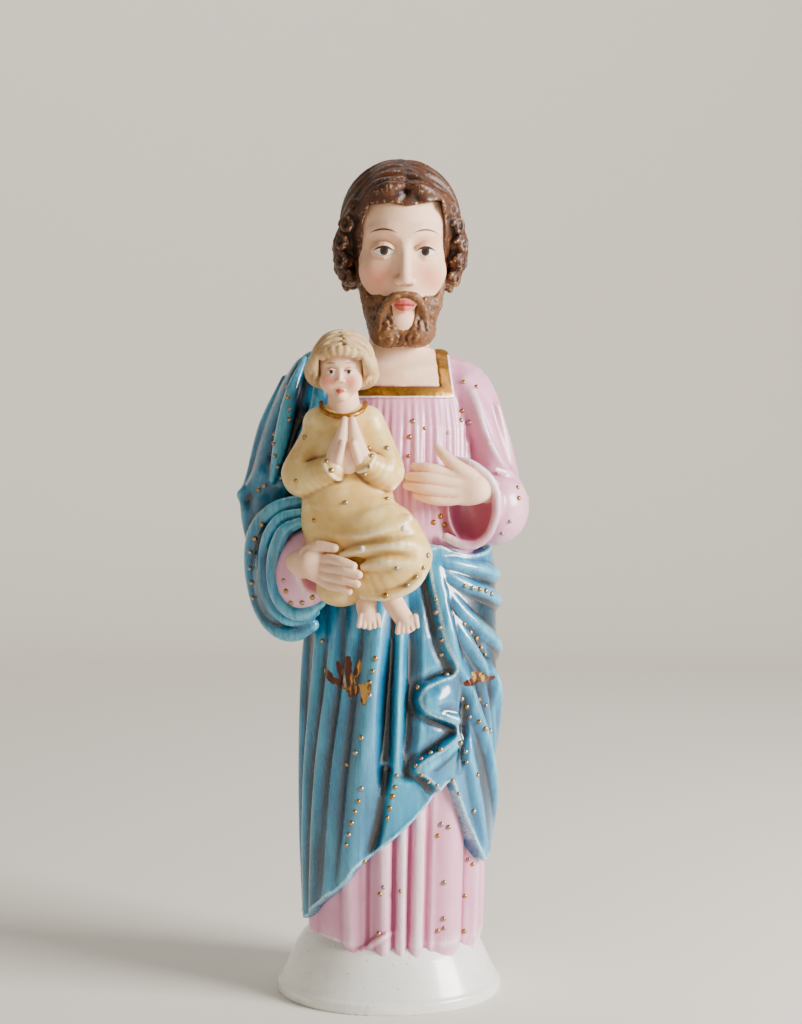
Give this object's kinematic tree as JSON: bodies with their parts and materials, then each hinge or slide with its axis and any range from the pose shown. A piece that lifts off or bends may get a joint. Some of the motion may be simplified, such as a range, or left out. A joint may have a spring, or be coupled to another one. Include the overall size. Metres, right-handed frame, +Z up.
{
  "type": "saint joseph statue",
  "caption": "Standing figure of Saint Joseph in tunic and mantle holding the Child, cast in porcelain with its low round base.",
  "frame": {"origin": "centre of the base's flat underside", "axes": "+Z up along the standing figure; the figure faces -Y; its left hand is towards +X"},
  "size_m": [0.1152, 0.0939, 0.3268],
  "materials": {
    "porcelain": "white porcelain body, glossy glaze on the mound",
    "blue_glaze": "blue glossy glaze, pale on crests and darker in folds",
    "rose_glaze": "rose lustre glaze",
    "cream_glaze": "cream yellow lustre glaze",
    "bisque_flesh": "unglazed tinted bisque with painted features",
    "painted_hair": "painted brown with gilt flecks",
    "gilt": "fired gilding and gilded enamel dots"
  },
  "bodies": {
    "root": {"saint_joseph_statue": "porcelain"}
  },
  "joints": []
}
